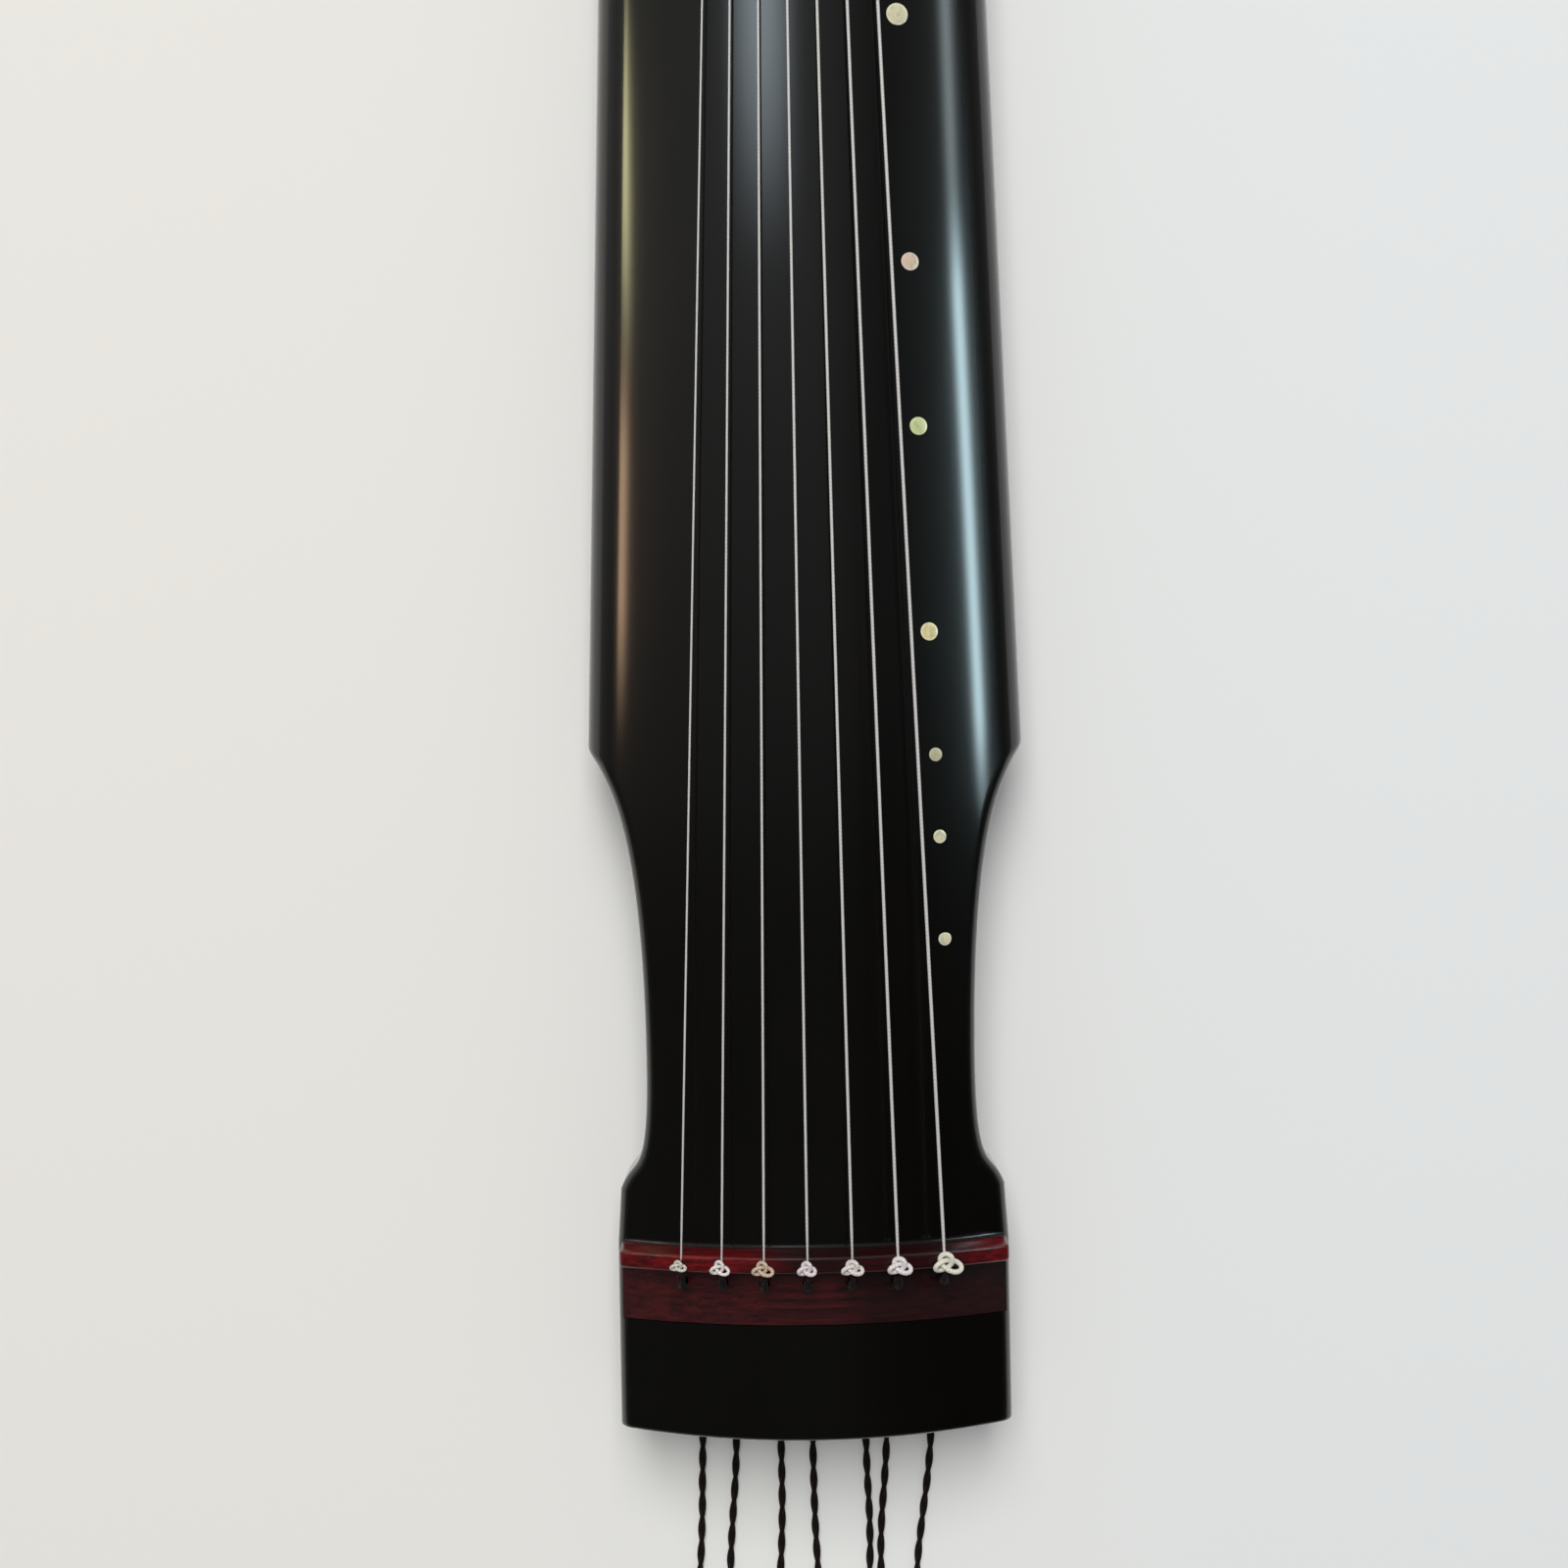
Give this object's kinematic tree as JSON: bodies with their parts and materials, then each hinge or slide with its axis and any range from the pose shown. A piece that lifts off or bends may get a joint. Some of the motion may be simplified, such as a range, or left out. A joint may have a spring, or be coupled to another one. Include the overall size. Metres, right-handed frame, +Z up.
{
  "type": "guqin",
  "caption": "Long fretless zither with an arched black lacquered body, silk-like strings over a hardwood bridge, shell position studs, turning pegs under the head and round feet.",
  "frame": {"origin": "on the ground, midway along and across the body", "axes": "+X towards the head end, +Y towards the side with the studs, +Z up"},
  "size_m": [1.397, 0.2016, 0.0896],
  "materials": {
    "black_lacquer": "rubbed black lacquer over wood, satin gloss",
    "bridge_rosewood": "polished dark red hardwood",
    "fitting_rosewood": "polished dark red-brown hardwood",
    "peg_rosewood": "turned and polished dark red-brown hardwood",
    "pine_wood": "bare planed softwood",
    "shell": "polished mother-of-pearl",
    "wound_string": "steel core wound with flat pale nylon",
    "black_cord": "twisted two-ply cord"
  },
  "bodies": {
    "root": {"soundboard": "black_lacquer", "bottom_board": "black_lacquer", "round_sound_post": "pine_wood", "square_sound_post": "pine_wood", "bridge": "bridge_rosewood", "string_hole_strip": "fitting_rosewood", "peg_panel": "fitting_rosewood", "tail_nut": "fitting_rosewood", "tail_nut_support": "fitting_rosewood", "far_peg_guard": "fitting_rosewood", "far_foot": "fitting_rosewood", "far_tail_corner": "fitting_rosewood", "near_peg_guard": "fitting_rosewood", "near_foot": "fitting_rosewood", "near_tail_corner": "fitting_rosewood", "stud_1": "shell", "stud_2": "shell", "stud_3": "shell", "stud_4": "shell", "stud_5": "shell", "stud_6": "shell", "stud_7": "shell", "stud_8": "shell", "stud_9": "shell", "stud_10": "shell", "stud_11": "shell", "stud_12": "shell", "stud_13": "shell", "string_1": "wound_string", "tuning_cord_1": "black_cord", "cord_tail_1": "black_cord", "string_2": "wound_string", "tuning_cord_2": "black_cord", "cord_tail_2": "black_cord", "string_3": "wound_string", "tuning_cord_3": "black_cord", "cord_tail_3": "black_cord", "string_4": "wound_string", "tuning_cord_4": "black_cord", "cord_tail_4": "black_cord", "string_5": "wound_string", "tuning_cord_5": "black_cord", "cord_tail_5": "black_cord", "string_6": "wound_string", "tuning_cord_6": "black_cord", "cord_tail_6": "black_cord", "string_7": "wound_string", "tuning_cord_7": "black_cord", "cord_tail_7": "black_cord"},
    "peg_1": {"tuning_peg_1": "peg_rosewood"},
    "peg_2": {"tuning_peg_2": "peg_rosewood"},
    "peg_3": {"tuning_peg_3": "peg_rosewood"},
    "peg_4": {"tuning_peg_4": "peg_rosewood"},
    "peg_5": {"tuning_peg_5": "peg_rosewood"},
    "peg_6": {"tuning_peg_6": "peg_rosewood"},
    "peg_7": {"tuning_peg_7": "peg_rosewood"}
  },
  "joints": [
    {"name": "peg_1_turn", "type": "hinge", "parent": "root", "child": "peg_1", "pos_m": [0.5395, 0.0576, 0.02], "axis": [0, 0, 1], "continuous": true},
    {"name": "peg_2_turn", "type": "hinge", "parent": "root", "child": "peg_2", "pos_m": [0.5395, 0.0368, 0.02], "axis": [0, 0, 1], "continuous": true},
    {"name": "peg_3_turn", "type": "hinge", "parent": "root", "child": "peg_3", "pos_m": [0.5395, 0.0165, 0.02], "axis": [0, 0, 1], "continuous": true},
    {"name": "peg_4_turn", "type": "hinge", "parent": "root", "child": "peg_4", "pos_m": [0.5395, -0.0033, 0.02], "axis": [0, 0, 1], "continuous": true},
    {"name": "peg_5_turn", "type": "hinge", "parent": "root", "child": "peg_5", "pos_m": [0.5395, -0.0226, 0.02], "axis": [0, 0, 1], "continuous": true},
    {"name": "peg_6_turn", "type": "hinge", "parent": "root", "child": "peg_6", "pos_m": [0.5395, -0.0413, 0.02], "axis": [0, 0, 1], "continuous": true},
    {"name": "peg_7_turn", "type": "hinge", "parent": "root", "child": "peg_7", "pos_m": [0.5395, -0.0595, 0.02], "axis": [0, 0, 1], "continuous": true}
  ]
}
